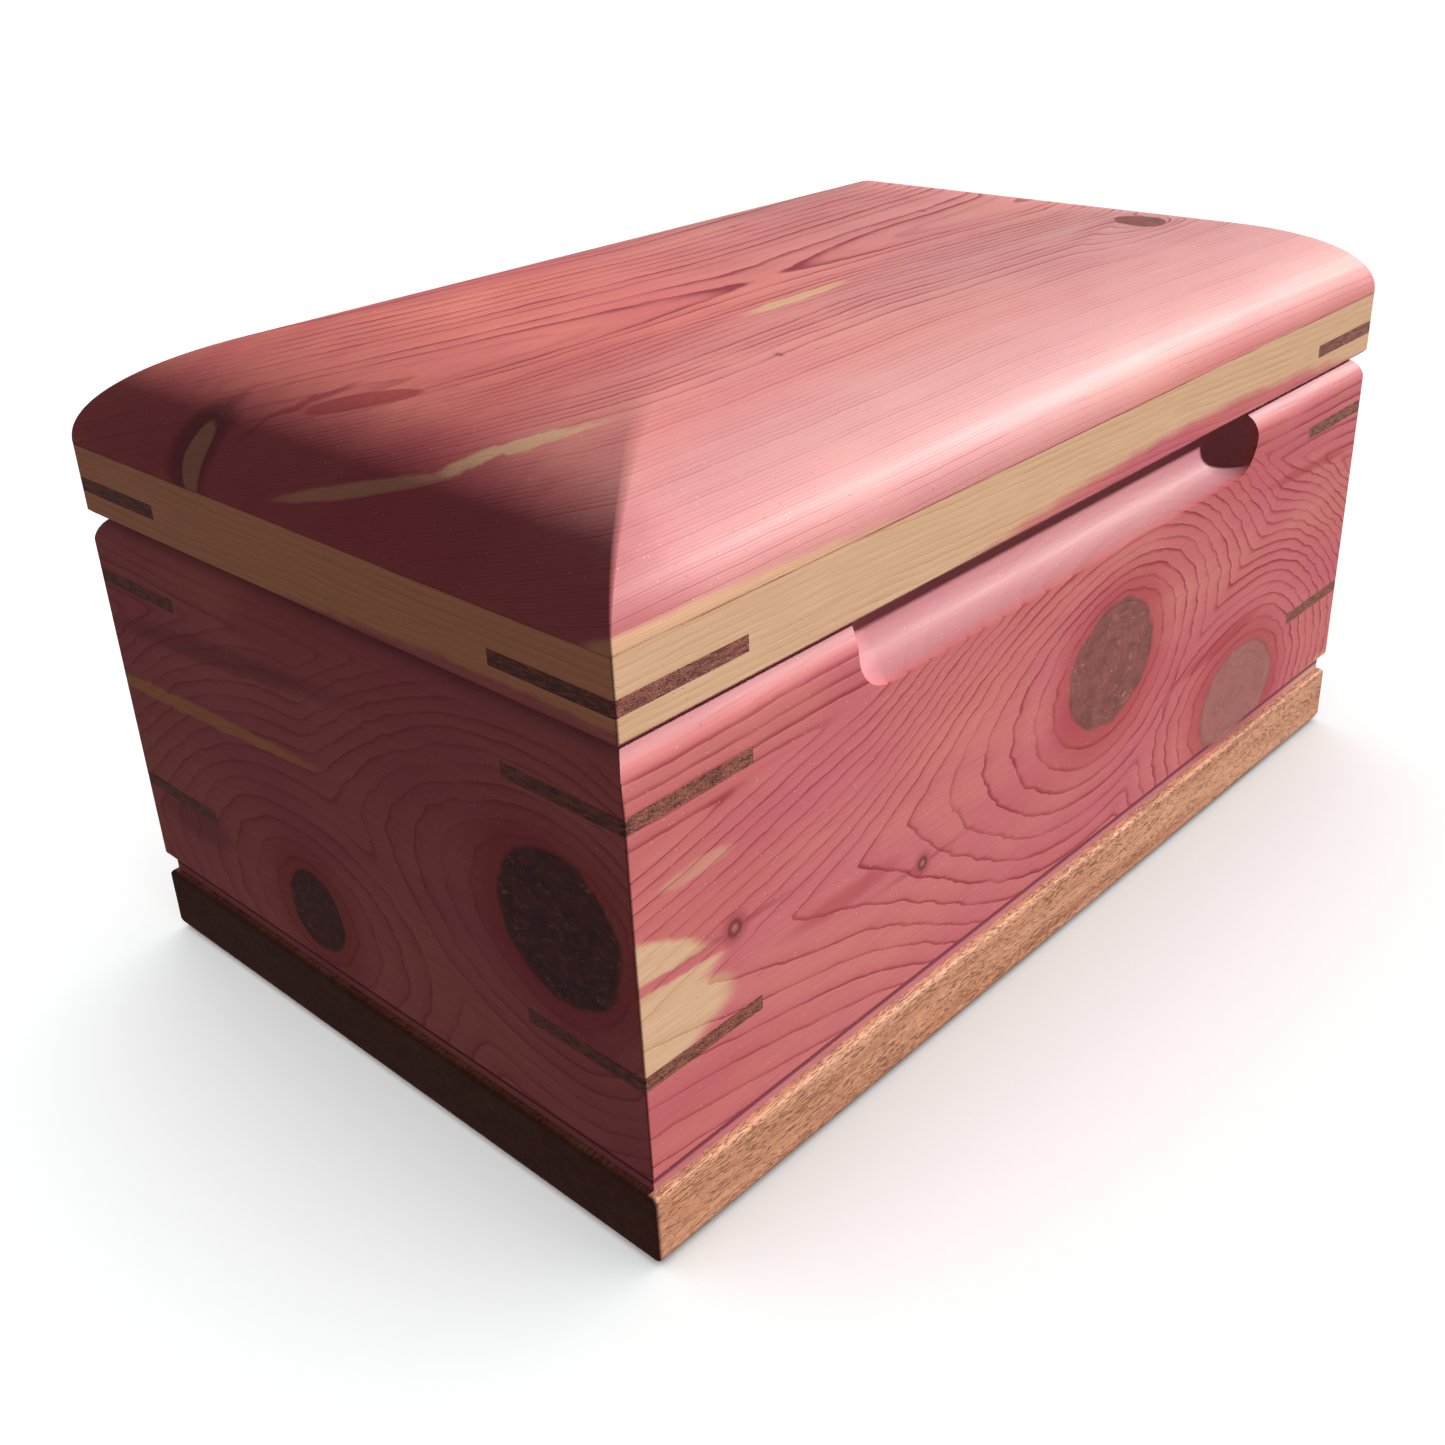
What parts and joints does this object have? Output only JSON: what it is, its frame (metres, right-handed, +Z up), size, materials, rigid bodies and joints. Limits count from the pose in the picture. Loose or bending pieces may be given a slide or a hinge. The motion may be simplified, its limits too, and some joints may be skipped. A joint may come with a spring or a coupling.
{
  "type": "hinged wooden keepsake box",
  "caption": "Hinged wooden keepsake box with a pillowed lid, mitred corners keyed with dark splines, a finger groove along the front rim and a hardwood base",
  "frame": {"origin": "middle of the underside of the base, on the surface that the box stands on", "axes": "+Z up; X along the front of the box, to the right as seen from the front; the front with the finger groove faces -Y and the hinges are at +Y"},
  "size_m": [0.28, 0.173, 0.1531],
  "materials": {
    "cedar": "aromatic red cedar with cream sapwood and knots, satin wipe-on finish",
    "spline_wood": "dark brown hardwood keys, satin",
    "mahogany": "mahogany with open pores, satin",
    "brass": "satin brass",
    "zinc_steel": "zinc-plated steel"
  },
  "bodies": {
    "case": {"base_board": "mahogany", "case_front": "cedar", "case_right": "cedar", "case_back": "cedar", "case_left": "cedar", "case_spline_lower_front_left": "spline_wood", "case_spline_lower_front_right": "spline_wood", "case_spline_lower_back_right": "spline_wood", "case_spline_lower_back_left": "spline_wood", "case_spline_upper_front_left": "spline_wood", "case_spline_upper_front_right": "spline_wood", "case_spline_upper_back_right": "spline_wood", "case_spline_upper_back_left": "spline_wood", "base_screw_front_1": "zinc_steel", "base_screw_front_2": "zinc_steel", "base_screw_front_3": "zinc_steel", "base_screw_back_1": "zinc_steel", "base_screw_back_2": "zinc_steel", "base_screw_back_3": "zinc_steel", "hinge_left_case_leaf": "brass", "hinge_left_pin": "brass", "hinge_left_case_screw_1": "brass", "hinge_left_case_screw_2": "brass", "hinge_left_case_screw_3": "brass", "hinge_right_case_leaf": "brass", "hinge_right_pin": "brass", "hinge_right_case_screw_1": "brass", "hinge_right_case_screw_2": "brass", "hinge_right_case_screw_3": "brass"},
    "lid": {"lid_slab": "cedar", "lid_frame_front": "cedar", "lid_frame_right": "cedar", "lid_frame_back": "cedar", "lid_frame_left": "cedar", "lid_spline_front_left": "spline_wood", "lid_spline_front_right": "spline_wood", "lid_spline_back_right": "spline_wood", "lid_spline_back_left": "spline_wood", "hinge_left_lid_leaf": "brass", "hinge_left_lid_screw_1": "brass", "hinge_left_lid_screw_2": "brass", "hinge_left_lid_screw_3": "brass", "hinge_right_lid_leaf": "brass", "hinge_right_lid_screw_1": "brass", "hinge_right_lid_screw_2": "brass", "hinge_right_lid_screw_3": "brass"}
  },
  "joints": [
    {"name": "lid_hinge", "type": "hinge", "parent": "case", "child": "lid", "pos_m": [0, 0.084, 0.11265], "axis": [-1, 0, 0], "range_deg": [0, 95]}
  ]
}
